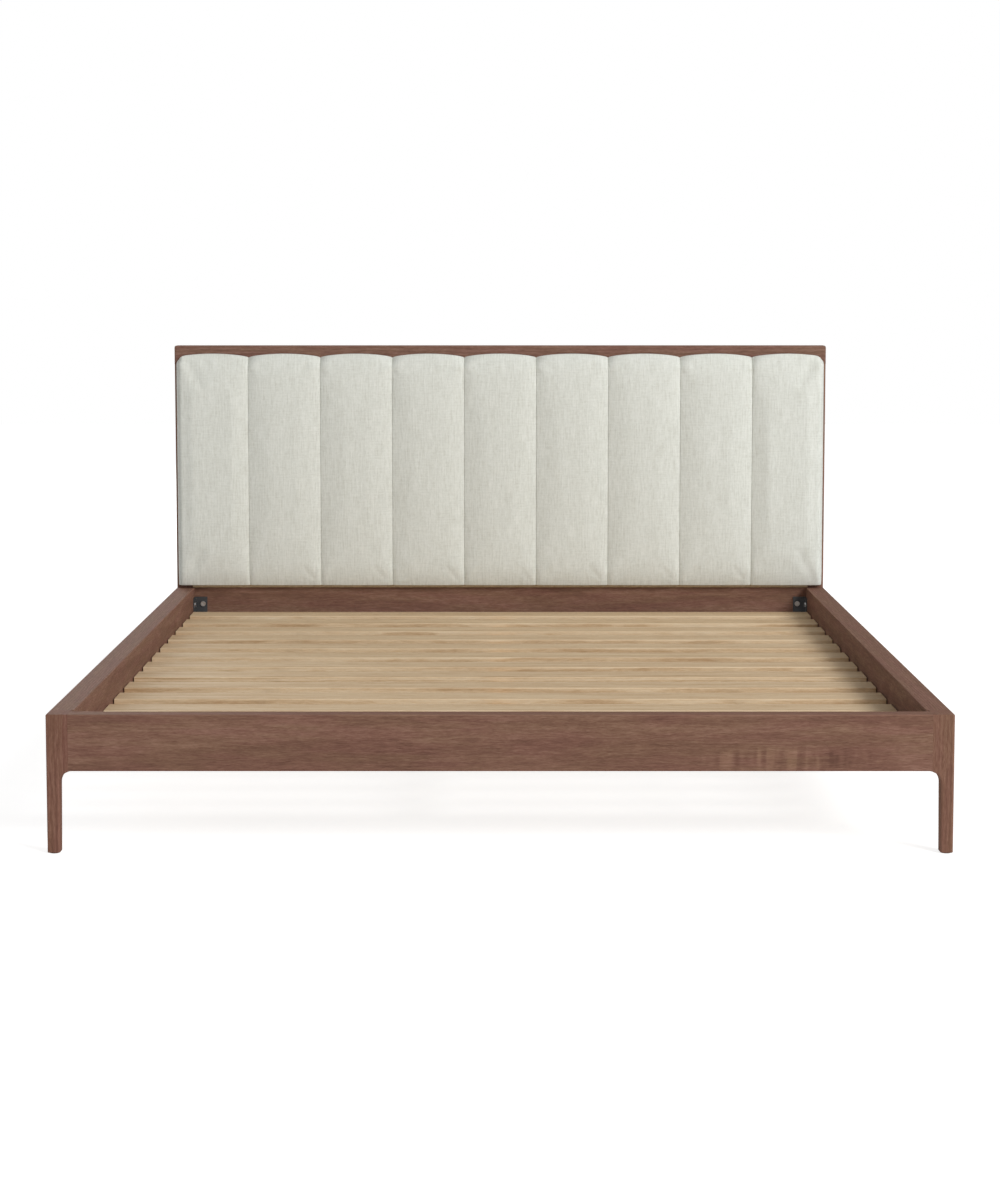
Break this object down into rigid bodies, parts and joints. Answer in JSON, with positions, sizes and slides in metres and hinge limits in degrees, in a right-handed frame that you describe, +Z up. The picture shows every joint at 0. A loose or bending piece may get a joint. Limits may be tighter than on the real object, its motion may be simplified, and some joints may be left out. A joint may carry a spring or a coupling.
{
  "type": "wooden bed frame",
  "caption": "Platform bed frame in walnut with slim corner legs, slatted deck, centre support and a walnut-edged headboard with upright padded fabric channels.",
  "frame": {"origin": "on the floor at the centre of the footprint", "axes": "+X to the right for someone who stands at the foot end and faces the headboard, +Y towards the headboard, +Z up"},
  "size_m": [2.06, 2.175, 1.09],
  "materials": {
    "walnut": "satin clear lacquer on walnut",
    "plywood": "raw plywood",
    "softwood": "planed softwood",
    "upholstery": "ivory slub weave",
    "slat_wood": "planed slat timber",
    "webbing": "woven black webbing",
    "coated_steel": "matt powder coat",
    "zinc_steel": "zinc plated",
    "beech": "fluted dowel, raw",
    "nylon": "black nylon"
  },
  "bodies": {
    "bed_frame": {"front_post_left": "walnut", "front_post_right": "walnut", "rear_post_left": "walnut", "rear_post_right": "walnut", "foot_rail": "walnut", "side_rail_left": "walnut", "side_rail_right": "walnut", "head_top_rail": "walnut", "head_bottom_rail": "walnut", "head_back_panel": "walnut", "head_core_panel": "plywood", "head_battens": "softwood", "ledger_left": "softwood", "ledger_right": "softwood", "centre_beam": "softwood", "centre_leg_1": "softwood", "centre_leg_2": "softwood", "channel_pad_1": "upholstery", "channel_pad_2": "upholstery", "channel_pad_3": "upholstery", "channel_pad_4": "upholstery", "channel_pad_5": "upholstery", "channel_pad_6": "upholstery", "channel_pad_7": "upholstery", "channel_pad_8": "upholstery", "channel_pad_9": "upholstery", "slat_1": "slat_wood", "slat_2": "slat_wood", "slat_3": "slat_wood", "slat_4": "slat_wood", "slat_5": "slat_wood", "slat_6": "slat_wood", "slat_7": "slat_wood", "slat_8": "slat_wood", "slat_9": "slat_wood", "slat_10": "slat_wood", "slat_11": "slat_wood", "slat_12": "slat_wood", "slat_13": "slat_wood", "slat_strap_left": "webbing", "slat_strap_right": "webbing", "bracket_foot_left": "coated_steel", "bracket_foot_right": "coated_steel", "bracket_head_left": "coated_steel", "bracket_head_right": "coated_steel", "beam_hanger_foot": "coated_steel", "beam_hanger_head": "coated_steel", "leg_inserts": "zinc_steel", "corner_bolts": "zinc_steel", "hanger_screws": "zinc_steel", "ledger_screws": "zinc_steel", "back_panel_screws": "zinc_steel", "dowels": "beech", "glide_foot_left": "nylon", "glide_foot_right": "nylon", "glide_head_left": "nylon", "glide_head_right": "nylon"},
    "foot_1": {"levelling_foot_1": "zinc_steel"},
    "foot_2": {"levelling_foot_2": "zinc_steel"}
  },
  "joints": [
    {"name": "foot_1_screw", "type": "slide", "parent": "bed_frame", "child": "foot_1", "axis": [0, 0, 1], "range_m": [-0.012, 0.004]},
    {"name": "foot_2_screw", "type": "slide", "parent": "bed_frame", "child": "foot_2", "axis": [0, 0, 1], "range_m": [-0.012, 0.004]}
  ]
}
